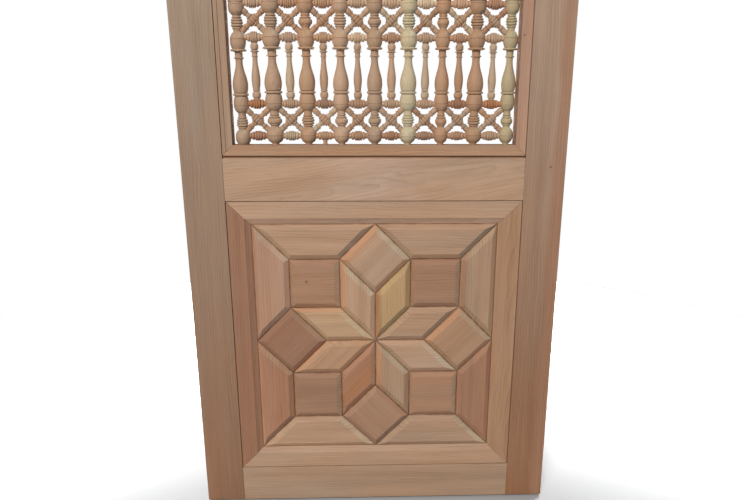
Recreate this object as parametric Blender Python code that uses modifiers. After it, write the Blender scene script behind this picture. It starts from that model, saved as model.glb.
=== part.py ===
"""A wooden door leaf: bevelled tiles laid as an eight-pointed star, with a turned lattice above them.

Sizes are in metres, with Z up. The front of the leaf faces -Y. The origin is on the left stile's outer
edge face, at mid height and mid thickness, where the leaf hangs from its jamb.
"""

import math

import bmesh
import bpy
from mathutils import Matrix, Vector

# Leaf
LEAF_THICKNESS = 0.045
OPENING_WIDTH = 0.786
STILE_WIDTH = 0.107
BOTTOM_RAIL_HEIGHT = 0.1067
MIDDLE_RAIL_HEIGHT = 0.1146
TOP_RAIL_HEIGHT = 0.1093
REBATE_HEIGHT = 0.0053
REBATE_DEPTH = 0.009
FIT = 0.0003
SHADOW_GAP = 0.0018
SHADOW_DEPTH = 0.005

# Mitred frame and bevelled tiles of the star panel
PANEL_FLAT = 0.0463
PANEL_BEVEL = 0.0165
PANEL_HOLLOW_REACH = 0.45
PANEL_HOLLOW_SHARE = 0.62
PANEL_FRAME_THICKNESS = 0.036
TILE_BEVEL = 0.0145
TILE_RISE = 0.0110
TILE_THICKNESS = 0.028

# Mitred moulding round the lattice
MOULDING_WIDTH = 0.0285
MOULDING_FILLET = 0.0111
MOULDING_QUIRK_WIDTH = 0.0012
MOULDING_QUIRK = 0.0024

# Lattice: a cross cell between two rows of balls, then a vase cell, and so on up to a last cross cell
COLUMNS = 9
VASE_CELLS = 3
CROSS_CELL = 0.0791
VASE_CELL = 0.1577
SIDE_CLEARANCE = 0.0022
TENON_LENGTH = 0.0042

# Turned spindles: radii, and heights from one feature to the next
BALL_RADIUS = 0.0208
BALL_BAND = 0.018
BALL_END = 0.0176
NECK_RADIUS = 0.009
WAIST_RADIUS = 0.0168
BEAD_RADIUS = 0.0158
BEAD_RISE = 0.0385
COLLAR_RADIUS = 0.0205
COLLAR_DROP = 0.0065
COLLAR_NECK = 0.012
STEM_RADIUS = 0.0098
STEM_DROP = 0.018
BELLY_RADIUS = 0.0200
BELLY_RISE = 0.028

# Small turned pieces between the spindles, as half widths
LINK_END = 0.0088
LINK_BEAD = 0.0116
STICK_HALF = 0.0060
BALUSTER_FOOT = 0.0085
BALUSTER_BELLY = 0.0105
BALUSTER_NECK = 0.0062
BALUSTER_BELLY_RISE = 0.055
SOCKET = 0.0015

SPINDLE_SIDES = 6
SMALL_SIDES = 4
MERGE = 0.00005

# Tones of one pale hardwood, as linear colours
TONES = {
    "tan": (0.42, 0.27, 0.17),
    "pale": (0.50, 0.36, 0.22),
    "pink": (0.42, 0.26, 0.18),
    "orange": (0.44, 0.24, 0.12),
    "red brown": (0.33, 0.18, 0.12),
    "brown": (0.28, 0.18, 0.11),
}
WOOD_ROUGHNESS = 0.6

# The star's tiles and their tones, each kind anticlockwise from the right
POINT_TILES = (
    ("right_upper", "pink"),
    ("top_right", "pale"),
    ("top_left", "tan"),
    ("left_upper", "tan"),
    ("left_lower", "pale"),
    ("bottom_left", "orange"),
    ("bottom_right", "tan"),
    ("right_lower", "pale"),
)
SQUARE_TILES = (
    ("right", "tan"),
    ("top_right", "brown"),
    ("top", "tan"),
    ("top_left", "brown"),
    ("left", "red brown"),
    ("bottom_left", "brown"),
    ("bottom", "brown"),
    ("bottom_right", "tan"),
)
EDGE_TILES = (
    ("right_upper", "tan"),
    ("top_right", "tan"),
    ("top_left", "tan"),
    ("left_upper", "pink"),
    ("left_lower", "orange"),
    ("bottom_left", "tan"),
    ("bottom_right", "tan"),
    ("right_lower", "brown"),
)
SPINDLE_TONES = ("brown", "pink", "orange", "tan", "pink", "pale", "orange", "pink", "pale")

# Places that follow from the sizes above
FRONT = -LEAF_THICKNESS / 2
PANEL_HEIGHT = OPENING_WIDTH
TILE_SIDE = (OPENING_WIDTH / 2 - PANEL_FLAT - PANEL_BEVEL) / (1 + math.sqrt(2))
COLUMN_PITCH = (OPENING_WIDTH - 2 * (MOULDING_WIDTH + BALL_RADIUS + SIDE_CLEARANCE)) / (COLUMNS - 1)

# A polygon whose flats and corners lie either side of the true circle by the same amount
POLYGON_GROWTH = 2 / (1 + math.cos(math.pi / SPINDLE_SIDES))
FLAT_SHARE = POLYGON_GROWTH * math.cos(math.pi / SPINDLE_SIDES)
BALL_FLAT = BALL_RADIUS * FLAT_SHARE

# The balls' shoulders are turned square to the crossed sticks that meet them
SHOULDER_RISE = (BALL_RADIUS - NECK_RADIUS) * FLAT_SHARE * COLUMN_PITCH / CROSS_CELL
BALL_HALF = BALL_BAND / 2 + SHOULDER_RISE
STICK_RUN = math.hypot(COLUMN_PITCH, CROSS_CELL)
STICK_ANGLE = math.atan2(CROSS_CELL, COLUMN_PITCH)
SHOULDER_REACH = BALL_FLAT * math.cos(STICK_ANGLE) + BALL_BAND / 2 * math.sin(STICK_ANGLE)

CROSS_CELLS = VASE_CELLS + 1
LATTICE_END = MOULDING_WIDTH + FIT + TENON_LENGTH + BALL_END
LATTICE_HEIGHT = 2 * LATTICE_END + CROSS_CELLS * CROSS_CELL + VASE_CELLS * VASE_CELL
LEAF_WIDTH = OPENING_WIDTH + 2 * STILE_WIDTH
LEAF_HEIGHT = BOTTOM_RAIL_HEIGHT + PANEL_HEIGHT + MIDDLE_RAIL_HEIGHT + LATTICE_HEIGHT + TOP_RAIL_HEIGHT
LEAF_BASE = -LEAF_HEIGHT / 2
PANEL_BASE = LEAF_BASE + BOTTOM_RAIL_HEIGHT
MIDDLE_RAIL_BASE = PANEL_BASE + PANEL_HEIGHT
LATTICE_BASE = MIDDLE_RAIL_BASE + MIDDLE_RAIL_HEIGHT
TOP_RAIL_BASE = LATTICE_BASE + LATTICE_HEIGHT
CENTRE_X = LEAF_WIDTH / 2
PANEL_CENTRE = Vector((CENTRE_X, 0, PANEL_BASE + PANEL_HEIGHT / 2))
LATTICE_CENTRE = Vector((CENTRE_X, 0, LATTICE_BASE + LATTICE_HEIGHT / 2))
FIRST_COLUMN_X = CENTRE_X - COLUMN_PITCH * (COLUMNS - 1) / 2
FIRST_ROW_Z = LATTICE_BASE + LATTICE_END

DOOR = "marquetry_wooden_door"
SMALL_PIECES = DOOR + "_small_pieces"


def clear_scene():
    for item in list(bpy.data.objects):
        bpy.data.objects.remove(item, do_unlink=True)


def add_collection(name, parent, shown=True):
    collection = bpy.data.collections.new(name)
    collection.hide_render = not shown
    parent.children.link(collection)
    return collection


def wood(name, tone):
    material = bpy.data.materials.new(name + "_wood")
    material.use_nodes = True
    shader = material.node_tree.nodes["Principled BSDF"]
    shader.inputs["Base Color"].default_value = (*TONES[tone], 1)
    shader.inputs["Roughness"].default_value = WOOD_ROUGHNESS
    shader.inputs["Metallic"].default_value = 0
    return material


def add_part(name, mesh, tone, location=(0, 0, 0), rotation=(0, 0, 0)):
    """A piece of the door, in its own wood."""
    mesh.materials.append(wood(name, tone))
    part = bpy.data.objects.new(name, mesh)
    part.location = location
    part.rotation_euler = rotation
    bpy.data.collections[DOOR].objects.link(part)
    return part


def mesh_from(name, bm):
    bmesh.ops.recalc_face_normals(bm, faces=bm.faces)
    mesh = bpy.data.meshes.new(name)
    bm.to_mesh(mesh)
    bm.free()
    return mesh


def board(name, left, right, base, height, tone, rebate=0.0):
    """A straight plank as thick as the leaf, with a rebate of that height along its top front edge."""
    top = base + height
    section = [(FRONT, base), (-FRONT, base), (-FRONT, top), (FRONT, top)]
    if rebate:
        floor = FRONT + REBATE_DEPTH
        section[3:] = [(floor, top), (floor, top - rebate), (FRONT, top - rebate)]
    bm = bmesh.new()
    end = bm.faces.new([bm.verts.new((left, y, z)) for y, z in section])
    drawn = bmesh.ops.extrude_face_region(bm, geom=[end])
    for item in drawn["geom"]:
        if isinstance(item, bmesh.types.BMVert):
            item.co.x = right
    add_part(name, mesh_from(name, bm), tone)


def stiles_and_rails():
    """Two full-height stiles, with three rails between them, the middle one rebated under the moulding."""
    board("stile_left", 0, STILE_WIDTH, LEAF_BASE, LEAF_HEIGHT, "brown")
    board("stile_right", LEAF_WIDTH - STILE_WIDTH, LEAF_WIDTH, LEAF_BASE, LEAF_HEIGHT, "brown")
    left = STILE_WIDTH + FIT
    right = LEAF_WIDTH - STILE_WIDTH - FIT
    board("rail_bottom", left, right, LEAF_BASE, BOTTOM_RAIL_HEIGHT, "tan")
    board("rail_middle", left, right, MIDDLE_RAIL_BASE, MIDDLE_RAIL_HEIGHT, "tan", REBATE_HEIGHT)
    board("rail_top", left, right, TOP_RAIL_BASE, TOP_RAIL_HEIGHT, "tan")


def mitred_strip(name, profile, half_run, half_reach):
    """The lower strip of a mitred frame, about its opening's centre.

    Each profile point is its distance in from the opening's edge and its depth behind the leaf's front face.
    """
    mitre_gap = FIT / math.sqrt(2)
    bm = bmesh.new()
    ring = []
    for inward, depth in profile:
        ring.append(bm.verts.new((half_run - inward - mitre_gap, FRONT + depth, inward - half_reach)))
    section = bm.faces.new(ring)
    drawn = bmesh.ops.extrude_face_region(bm, geom=[section])
    far_end = [item for item in drawn["geom"] if isinstance(item, bmesh.types.BMVert)]
    bmesh.ops.scale(bm, vec=(-1, 1, 1), verts=far_end)
    return mesh_from(name, bm)


def mitred_frame(name, profile, centre, width, height, tones):
    """Four strips round an opening, each turned to its own side."""
    for quarter, (side, tone) in enumerate(tones.items()):
        half_run, half_reach = (height / 2, width / 2) if quarter % 2 else (width / 2, height / 2)
        strip = mitred_strip(f"{name}_{side}", profile, half_run, half_reach)
        add_part(f"{name}_{side}", strip, tone, centre, (0, quarter * math.pi / 2, 0))


def panel_frame():
    """A flat strip with a hollow bevel down to the tiles, standing a shadow gap off the stiles and rails."""
    inner = PANEL_FLAT + PANEL_BEVEL - FIT
    hollow = PANEL_FLAT + PANEL_BEVEL * PANEL_HOLLOW_REACH
    profile = (
        (FIT, PANEL_FRAME_THICKNESS),
        (FIT, SHADOW_DEPTH),
        (SHADOW_GAP, SHADOW_DEPTH),
        (SHADOW_GAP, 0),
        (PANEL_FLAT, 0),
        (hollow, TILE_RISE * PANEL_HOLLOW_SHARE),
        (inner, TILE_RISE),
        (inner, PANEL_FRAME_THICKNESS),
    )
    tones = {"bottom": "tan", "left": "red brown", "top": "tan", "right": "tan"}
    mitred_frame("panel_frame", profile, PANEL_CENTRE, OPENING_WIDTH, PANEL_HEIGHT, tones)


def lattice_moulding():
    """A fillet, a quirk and a leaning face, with a plain inner wall through the leaf."""
    profile = (
        (FIT, LEAF_THICKNESS),
        (FIT, SHADOW_DEPTH),
        (SHADOW_GAP, SHADOW_DEPTH),
        (SHADOW_GAP, 0),
        (MOULDING_FILLET, 0),
        (MOULDING_FILLET + MOULDING_QUIRK_WIDTH, MOULDING_QUIRK),
        (MOULDING_WIDTH, 0),
        (MOULDING_WIDTH, LEAF_THICKNESS),
    )
    tones = {"bottom": "tan", "left": "brown", "top": "tan", "right": "brown"}
    mitred_frame("lattice_moulding", profile, LATTICE_CENTRE, OPENING_WIDTH, LATTICE_HEIGHT, tones)


def shrunk(outline, distance):
    """A convex outline moved inwards by a distance all round, running anticlockwise."""
    doubled_area = sum(point.cross(after) for point, after in zip(outline, outline[1:] + outline[:1]))
    points = outline if doubled_area > 0 else outline[::-1]
    moved = []
    for before, point, after in zip(points[-1:] + points[:-1], points, points[1:] + points[:1]):
        arriving = (point - before).normalized()
        leaving = (after - point).normalized()
        inward = (leaving - arriving).normalized()
        half_corner = (math.pi - arriving.angle(leaving)) / 2
        moved.append(point + inward * distance / math.sin(half_corner))
    return moved


def tile(name, outline, tone):
    """A block with a bevel all round its face, from a rim at the groove's bottom up to a flat field."""
    bm = bmesh.new()
    rim = [bm.verts.new((x, FRONT + TILE_RISE, z)) for x, z in shrunk(outline, FIT / 2)]
    field = bm.faces.new(rim)
    body = bmesh.ops.extrude_face_region(bm, geom=[field], use_keep_orig=True)
    for item in body["geom"]:
        if isinstance(item, bmesh.types.BMVert):
            item.co.y = FRONT + TILE_THICKNESS
    bmesh.ops.inset_region(bm, faces=[field], thickness=TILE_BEVEL, use_even_offset=True)
    for corner in field.verts:
        corner.co.y = FRONT
    add_part(name, mesh_from(name, bm), tone, PANEL_CENTRE)


def star_panel():
    """Eight points round the centre, eight squares between their tips, and edge tiles out to the frame."""
    centre = Vector((0, 0))
    rays = [Matrix.Rotation(eighth * math.pi / 4, 2) @ Vector((TILE_SIDE, 0)) for eighth in range(8)]
    reach = 1 + math.sqrt(2)
    for eighth, ray in enumerate(rays):
        before = rays[eighth - 1]
        after = rays[(eighth + 1) % 8]
        outer = ray + before + after
        name, tone = POINT_TILES[eighth]
        tile("point_tile_" + name, [centre, ray, ray + after, after], tone)
        name, tone = SQUARE_TILES[eighth]
        tile("square_tile_" + name, [ray, ray + before, outer, ray + after], tone)
        if eighth % 2:
            corner = outer * math.sqrt(2)
            for place, axis in enumerate((before, after)):
                name, tone = EDGE_TILES[eighth - 1 + place]
                tile("edge_tile_" + name, [axis * reach, corner, outer, ray + axis], tone)


def lathe(piece, sides):
    """Turns the piece's profile about its Z axis."""
    turned = piece.modifiers.new("Turned", "SCREW")
    turned.axis = "Z"
    turned.steps = sides
    turned.render_steps = sides
    turned.use_merge_vertices = True
    turned.merge_threshold = MERGE
    turned.use_smooth_shade = False


def profile_mesh(name, points, growth):
    """A turned outline through (radius, height) points, from the top down, closed on the axis at both ends.

    The radii grow so that the polygon's flats or corners come where the sizes say.
    """
    ordered = sorted(points, key=lambda point: -point[1])
    closed = [(0, ordered[0][1]), *ordered, (0, ordered[-1][1])]
    mesh = bpy.data.meshes.new(name)
    corners = [(radius * growth, 0, height) for radius, height in closed]
    mesh.from_pydata(corners, [(i, i + 1) for i in range(len(corners) - 1)], [])
    return mesh


def row_heights():
    """The ball rows' heights above the lowest row."""
    heights = [0.0]
    for cell in range(CROSS_CELLS + VASE_CELLS):
        heights.append(heights[-1] + (VASE_CELL if cell % 2 else CROSS_CELL))
    return heights


def spindle_mesh(name):
    """Balls at every row, a bead in each cross cell, and a vase, a neck and a collar in each vase cell."""
    rows = row_heights()
    points = [(BALL_RADIUS, height + side * BALL_BAND / 2) for height in rows for side in (-1, 1)]
    points.append((NECK_RADIUS, rows[0] - BALL_END - TENON_LENGTH))
    points.append((NECK_RADIUS, rows[-1] + BALL_END + TENON_LENGTH))
    for low, high in zip(rows[::2], rows[1::2]):
        points += [(NECK_RADIUS, low + BALL_HALF), (NECK_RADIUS, high - BALL_HALF)]
        points.append((BEAD_RADIUS, low + BEAD_RISE))
    for low, high in zip(rows[1::2], rows[2::2]):
        points += [(WAIST_RADIUS, low + BALL_HALF), (WAIST_RADIUS, high - BALL_HALF)]
        collar = high - BALL_HALF - COLLAR_DROP
        neck = collar - COLLAR_NECK
        points.append((COLLAR_RADIUS, collar))
        points.append((NECK_RADIUS, neck))
        points.append((STEM_RADIUS, neck - STEM_DROP))
        points.append((BELLY_RADIUS, low + BALL_HALF + BELLY_RISE))
    return profile_mesh(name, points, POLYGON_GROWTH)


def small_meshes():
    """The outlines of the small pieces, whose flats lie at the named half widths."""
    growth = 1 / math.cos(math.pi / SMALL_SIDES)
    link_reach = COLUMN_PITCH - 2 * BALL_FLAT
    stick_reach = STICK_RUN - 2 * SHOULDER_REACH
    outlines = {
        "link": [(LINK_END, -SOCKET), (LINK_BEAD, link_reach / 2), (LINK_END, link_reach - FIT)],
        "stick": [(STICK_HALF, -SOCKET), (STICK_HALF, stick_reach - FIT)],
        "baluster": [(BALUSTER_FOOT, 0), (BALUSTER_BELLY, BALUSTER_BELLY_RISE), (BALUSTER_NECK, VASE_CELL)],
    }
    return {kind: profile_mesh(kind + "_outline", points, growth) for kind, points in outlines.items()}


def add_small_piece(name, mesh, collection, start, slope):
    """A four-sided piece that runs from its start at a slope from the upright, with flats to the front."""
    piece = bpy.data.objects.new(name, mesh)
    leaning = Matrix.Rotation(slope, 4, "Y") @ Matrix.Rotation(math.pi / SMALL_SIDES, 4, "Z")
    piece.matrix_world = Matrix.Translation(start) @ leaning
    piece.hide_render = True
    piece.display_type = "WIRE"
    lathe(piece, SMALL_SIDES)
    collection.objects.link(piece)


def crossed_sticks(column, cell, low, high, mesh, collection):
    """Two sticks that cross, from the balls on the left to those on the right."""
    for way, ball, slope in (
        ("rising", low, math.pi / 2 - STICK_ANGLE),
        ("falling", high, math.pi / 2 + STICK_ANGLE),
    ):
        start = ball + Vector((math.sin(slope), 0, math.cos(slope))) * SHOULDER_REACH
        add_small_piece(f"column_{column}_{way}_stick_{cell}", mesh, collection, start, slope)


def bay(column, axis_x, meshes):
    """The links, crossed sticks and balusters between one spindle and the next."""
    helpers = bpy.data.collections[SMALL_PIECES]
    collection = add_collection(f"column_{column}_small_pieces", helpers, shown=False)
    balls = [Vector((axis_x, 0, FIRST_ROW_Z + height)) for height in row_heights()]
    for row, ball in enumerate(balls, 1):
        start = ball + Vector((BALL_FLAT, 0, 0))
        add_small_piece(f"column_{column}_link_{row}", meshes["link"], collection, start, math.pi / 2)
    for cell, (low, high) in enumerate(zip(balls[::2], balls[1::2]), 1):
        crossed_sticks(column, cell, low, high, meshes["stick"], collection)
    for cell, ball in enumerate(balls[1:-1:2], 1):
        start = ball + Vector((COLUMN_PITCH / 2, 0, 0))
        add_small_piece(f"column_{column}_baluster_{cell}", meshes["baluster"], collection, start, 0)
    return collection


def lattice():
    """A column to each spindle, with the small pieces that stand on its right side."""
    meshes = small_meshes()
    for column in range(1, COLUMNS + 1):
        name = f"lattice_column_{column}"
        axis_x = FIRST_COLUMN_X + (column - 1) * COLUMN_PITCH
        tone = SPINDLE_TONES[(column - 1) % len(SPINDLE_TONES)]
        spindle = add_part(
            name, spindle_mesh(name), tone, (axis_x, 0, FIRST_ROW_Z), (0, 0, math.pi / SPINDLE_SIDES)
        )
        lathe(spindle, SPINDLE_SIDES)
        if column < COLUMNS:
            joined = spindle.modifiers.new("Small pieces", "BOOLEAN")
            joined.operation = "UNION"
            joined.solver = "EXACT"
            joined.operand_type = "COLLECTION"
            joined.collection = bay(column, axis_x, meshes)


clear_scene()
add_collection(DOOR, bpy.context.scene.collection)
add_collection(SMALL_PIECES, bpy.context.scene.collection, shown=False)
stiles_and_rails()
panel_frame()
star_panel()
lattice_moulding()
lattice()
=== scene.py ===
"""The looks of a wooden door leaf: a star panel of bevelled tiles under a lattice of turned spindles.

Sizes are in metres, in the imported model's frame: Z up, the leaf's front towards -Y.
"""

import math
import random

import bmesh
import bpy
import numpy as np
from mathutils import Matrix, Vector


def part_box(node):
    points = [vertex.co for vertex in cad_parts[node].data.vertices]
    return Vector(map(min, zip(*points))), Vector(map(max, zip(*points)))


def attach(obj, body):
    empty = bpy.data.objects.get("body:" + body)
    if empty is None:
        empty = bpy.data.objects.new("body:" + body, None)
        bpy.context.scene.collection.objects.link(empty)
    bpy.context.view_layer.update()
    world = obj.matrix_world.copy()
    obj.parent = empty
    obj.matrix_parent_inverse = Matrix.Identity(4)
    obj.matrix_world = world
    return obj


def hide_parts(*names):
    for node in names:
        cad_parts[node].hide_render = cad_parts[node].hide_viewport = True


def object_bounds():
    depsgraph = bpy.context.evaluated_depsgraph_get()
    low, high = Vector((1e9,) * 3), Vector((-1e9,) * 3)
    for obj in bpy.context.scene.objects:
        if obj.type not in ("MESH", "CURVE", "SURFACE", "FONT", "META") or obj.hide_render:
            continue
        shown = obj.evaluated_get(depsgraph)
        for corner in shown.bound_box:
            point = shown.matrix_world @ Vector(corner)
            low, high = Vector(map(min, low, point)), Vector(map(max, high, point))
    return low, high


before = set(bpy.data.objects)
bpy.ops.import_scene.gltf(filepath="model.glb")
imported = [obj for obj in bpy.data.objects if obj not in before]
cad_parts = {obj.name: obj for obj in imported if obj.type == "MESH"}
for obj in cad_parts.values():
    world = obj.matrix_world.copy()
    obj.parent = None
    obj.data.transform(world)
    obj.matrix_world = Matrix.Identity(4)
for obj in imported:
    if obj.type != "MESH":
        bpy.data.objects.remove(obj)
cad_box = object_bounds()

# The camera as fitted to the photograph, in metres, degrees and pixels of a picture 750 pixels wide. The
# photograph is cut from a larger one, so its middle lies off the lens's axis.
FRAME_WIDTH_PX = 750
FOCAL_PX = 692.0
SENSOR_WIDTH_MM = 36
CAMERA_PLACE = (0.4656, -1.8478, 0.1608)
CAMERA_PITCH = 17.438
CAMERA_YAW = -2.103
CAMERA_ROLL = 0.153
AXIS_RIGHT_PX = 12.2
AXIS_BELOW_PX = 60.1

RIGHT = Vector((1, 0, 0))
UP = Vector((0, 0, 1))

# Lattice, as the CAD model has it: a cross cell between two rows of balls, then a vase cell, and so on
COLUMNS = 9
CROSS_CELLS = 4
VASE_CELLS = 3
COLUMN_PITCH = 0.085375
CROSS_CELL = 0.0791
VASE_CELL = 0.1577
BALL_RADIUS = 0.0208
FIRST_ROW_RISE = 0.0218

SPINDLE_SIDES = 28
SMALL_SIDES = 16
TURNED_SHADE_ANGLE = 38

# Wood tones as they look in the photograph, in sRGB from 0 to 255
TONES = {
    "straw": (184, 167, 136),
    "pale": (179, 154, 127),
    "tan": (175, 143, 117),
    "oak": (168, 138, 113),
    "pink": (171, 134, 111),
    "ochre": (169, 132, 103),
    "umber": (157, 121, 96),
    "rose": (155, 114, 89),
    "amber": (160, 110, 74),
    "khaki": (169, 152, 121),
    "honey": (177, 146, 107),
    "apricot": (190, 139, 101),
    "clay": (168, 124, 97),
    "chestnut": (137, 100, 75),
    "dove": (161, 145, 126),
    "buff": (174, 154, 136),
    "shell": (185, 158, 139),
    "russet": (141, 99, 69),
    "ash": (154, 122, 100),
    "wheat": (179, 145, 113),
}

# The share of a tone that the lit wood gives back, in red, green and blue, once its figure has darkened it
LIGHT_LEVEL = np.array((0.729, 0.704, 0.681))

# How end grain differs from the wood's side. Where it faces right it gets painted light, paler and greyer
# as under a cool light from the right, and painted shade where that side leans down; facing left it keeps a
# slight tint of its own
LEFT_END = (1.00, 1.03, 1.00)
RIGHT_END_PAINTED_LIGHT = (1.12, 1.33, 1.42)
LOW_RIGHT_END_PAINTED_SHADE = (0.82, 0.94, 1.06)

# How much stronger its rings are, and the sines of the slope to the fibres between which a face turns to it
END_RING_GAIN = 1.4
END_GRAIN_FROM = 0.22
END_GRAIN_FULL = 0.46

# What multiplies the wood's tone where it is darkest, warmest, in a groove's dirt and painted shade, or in
# a knot
FIGURE_TONE = (0.42, 0.34, 0.27)
WARM_TONE = (1.04, 0.97, 0.90)
RECESS_DIRT_AND_SHADE_TONE = (0.50, 0.42, 0.36)
KNOT_TONE = (0.62, 0.53, 0.45)
STREAK_STRENGTH = 0.62

# Surface: how far the growth rings wander and ripple in metres, and how the wood shines and feels
RING_WAVER = 0.007
RING_RIPPLE = 0.0009
RING_SHARPNESS = 3.0
SPECULAR = 0.28
ROUGHNESS = (0.56, 0.70)
BUMP_STRENGTH = 0.35
BUMP_DEPTH = 0.0004

# Each piece is cut from its own place along the wood, up to this many metres from the wood's middle
GRAIN_REACH = 3

# Ranges of chance for turned pieces: distance of the pith in metres, lightness, thickness of a bead, a link
# and a baluster, half length of a link's barrel in metres, and how many ribs the barrel has
PITH_RANGE = (0.022, 0.06)
LIGHT_RANGE = (0.94, 1.05)
BEAD_RANGE = (0.97, 1.03)
LINK_RANGE = (0.95, 1.05)
BALUSTER_RANGE = (0.94, 1.06)
BARREL_RANGE = (0.0080, 0.0100)
RIB_COUNTS = (2, 3, 3, 4)


def decoded(channel):
    """The linear value of an sRGB channel, both from 0 to 1."""
    return channel / 12.92 if channel <= 0.04045 else ((channel + 0.055) / 1.055) ** 2.4


def linear(tone):
    """A tone's albedo, as linear red, green and blue."""
    return np.array([decoded(value / 255) for value in TONES[tone]]) / LIGHT_LEVEL


# Wood


class Nodes:
    """A short way to write the node tree of a material or a world."""

    def __init__(self, owner):
        self.tree = owner.node_tree

    def add(self, kind, inputs=(), **settings):
        """A new node. Its inputs are values, or other nodes' sockets to link to."""
        node = self.tree.nodes.new(kind)
        for name, value in settings.items():
            setattr(node, name, value)
        for socket, value in dict(inputs).items():
            self.feed(node.inputs[socket], value)
        return node

    def feed(self, socket, value):
        if isinstance(value, bpy.types.NodeSocket):
            self.tree.links.new(value, socket)
        else:
            socket.default_value = value

    def math(self, operation, first, second=0.0, third=0.0):
        terms = {0: first, 1: second, 2: third}
        return self.add("ShaderNodeMath", terms, operation=operation).outputs[0]

    def vector(self, operation, first, second):
        return self.add("ShaderNodeVectorMath", {0: first, 1: second}, operation=operation)

    def attribute(self, name):
        return self.add("ShaderNodeAttribute", attribute_name=name)

    def noise(self, vector, scale, detail=2.0, roughness=0.5):
        """Noise from 0 to 1, with its own waves a metre along, across and through the wood."""
        stretched = self.vector("MULTIPLY", vector, scale).outputs[0]
        inputs = {"Vector": stretched, "Scale": 1.0, "Detail": detail, "Roughness": roughness}
        return self.add("ShaderNodeTexNoise", inputs).outputs["Fac"]

    def remap(self, value, low, high, to_low=0.0, to_high=1.0, smooth=False):
        """A value from low to high taken to a new range, and held at its ends."""
        inputs = {"Value": value, "From Min": low, "From Max": high, "To Min": to_low, "To Max": to_high}
        kind = "SMOOTHSTEP" if smooth else "LINEAR"
        return self.add("ShaderNodeMapRange", inputs, interpolation_type=kind).outputs["Result"]

    def blend(self, kind, factor, first, second):
        node = self.add("ShaderNodeMix", data_type="RGBA", blend_type=kind)
        self.feed(node.inputs["Factor"], factor)
        self.feed(node.inputs["A"], first)
        self.feed(node.inputs["B"], second)
        return node.outputs["Result"]


def growth_rings(nodes, grain, spacing):
    """Dark lines of late wood round the pith, which waver and come and go."""
    axes = nodes.add("ShaderNodeSeparateXYZ", {0: grain})
    across, through = axes.outputs[1], axes.outputs[2]
    waver = nodes.remap(nodes.noise(grain, (5, 16, 16)), 0.25, 0.75, -RING_WAVER, RING_WAVER)
    ripple = nodes.remap(nodes.noise(grain, (22, 90, 90)), 0.25, 0.75, -RING_RIPPLE, RING_RIPPLE)
    through_squared = nodes.math("MULTIPLY", through, through)
    pith_distance = nodes.math("SQRT", nodes.math("MULTIPLY_ADD", across, across, through_squared))
    shifted = nodes.math("ADD", nodes.math("ADD", pith_distance, waver), ripple)
    phase = nodes.math("FRACT", nodes.math("DIVIDE", shifted, spacing))
    late_wood = nodes.math("POWER", phase, RING_SHARPNESS)
    closing = nodes.remap(phase, 0.93, 1.0, 1.0, 0.0)
    patches = nodes.remap(nodes.noise(grain, (7, 30, 30), 1.0), 0.35, 0.62, 0.25, 1.0)
    return nodes.math("MULTIPLY", nodes.math("MULTIPLY", late_wood, closing), patches)


def ground_tone(nodes, grain):
    """The piece's tone, with its soft streak of another one."""
    tone = nodes.attribute("tone").outputs["Color"]
    streak = nodes.attribute("streak")
    place = nodes.attribute("streak_place").outputs["Fac"]
    wander = nodes.remap(nodes.noise(grain, (6, 25, 25)), 0.3, 0.7, -0.45, 0.45)
    reach = nodes.math("ABSOLUTE", nodes.math("ADD", place, wander))
    inside = nodes.remap(reach, 1.5, 0.3, smooth=True)
    share = nodes.math("MULTIPLY", inside, streak.outputs["Alpha"])
    return nodes.blend("MIX", share, tone, streak.outputs["Color"])


def end_share(nodes):
    """How far a face cuts across the fibres, from 0 to 1."""
    along = nodes.attribute("along").outputs["Vector"]
    facing = nodes.add("ShaderNodeNewGeometry").outputs["Normal"]
    lengthwise = nodes.vector("DOT_PRODUCT", facing, along).outputs["Value"]
    return nodes.remap(nodes.math("ABSOLUTE", lengthwise), END_GRAIN_FROM, END_GRAIN_FULL, smooth=True)


def end_grain_with_painted_light(nodes, share, colour):
    """Wood cut across its fibres, with painted cool light where it faces right and painted shade where that
    side leans down.
    """
    facing = nodes.add("ShaderNodeNewGeometry").outputs["Normal"]
    sides = nodes.add("ShaderNodeSeparateXYZ", {0: facing})
    # Painted light and shade: right-facing end grain paler and greyer, darker where it leans down
    rightward_painted_light_share = nodes.remap(sides.outputs[0], 0.05, 0.32, smooth=True)
    upward_painted_light_share = nodes.remap(sides.outputs[2], -0.42, 0.0)
    right_painted_light = nodes.blend("MIX", upward_painted_light_share, (*LOW_RIGHT_END_PAINTED_SHADE, 1), (*RIGHT_END_PAINTED_LIGHT, 1))
    tone = nodes.blend("MIX", rightward_painted_light_share, (*LEFT_END, 1), right_painted_light)
    return nodes.blend("MULTIPLY", share, colour, tone)


def knots(nodes, grain, colour):
    """A small dark knot, at the place and of the size that the piece carries."""
    knot = nodes.attribute("knot")
    away = nodes.vector("DISTANCE", grain, knot.outputs["Vector"]).outputs["Value"]
    ragged = nodes.remap(nodes.noise(grain, (160, 300, 300)), 0.3, 0.7, 0.7, 1.3)
    share = nodes.math("DIVIDE", nodes.math("MULTIPLY", away, ragged), knot.outputs["Alpha"])
    return nodes.blend("MULTIPLY", nodes.remap(share, 1.3, 0.5, smooth=True), colour, (*KNOT_TONE, 1))


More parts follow.
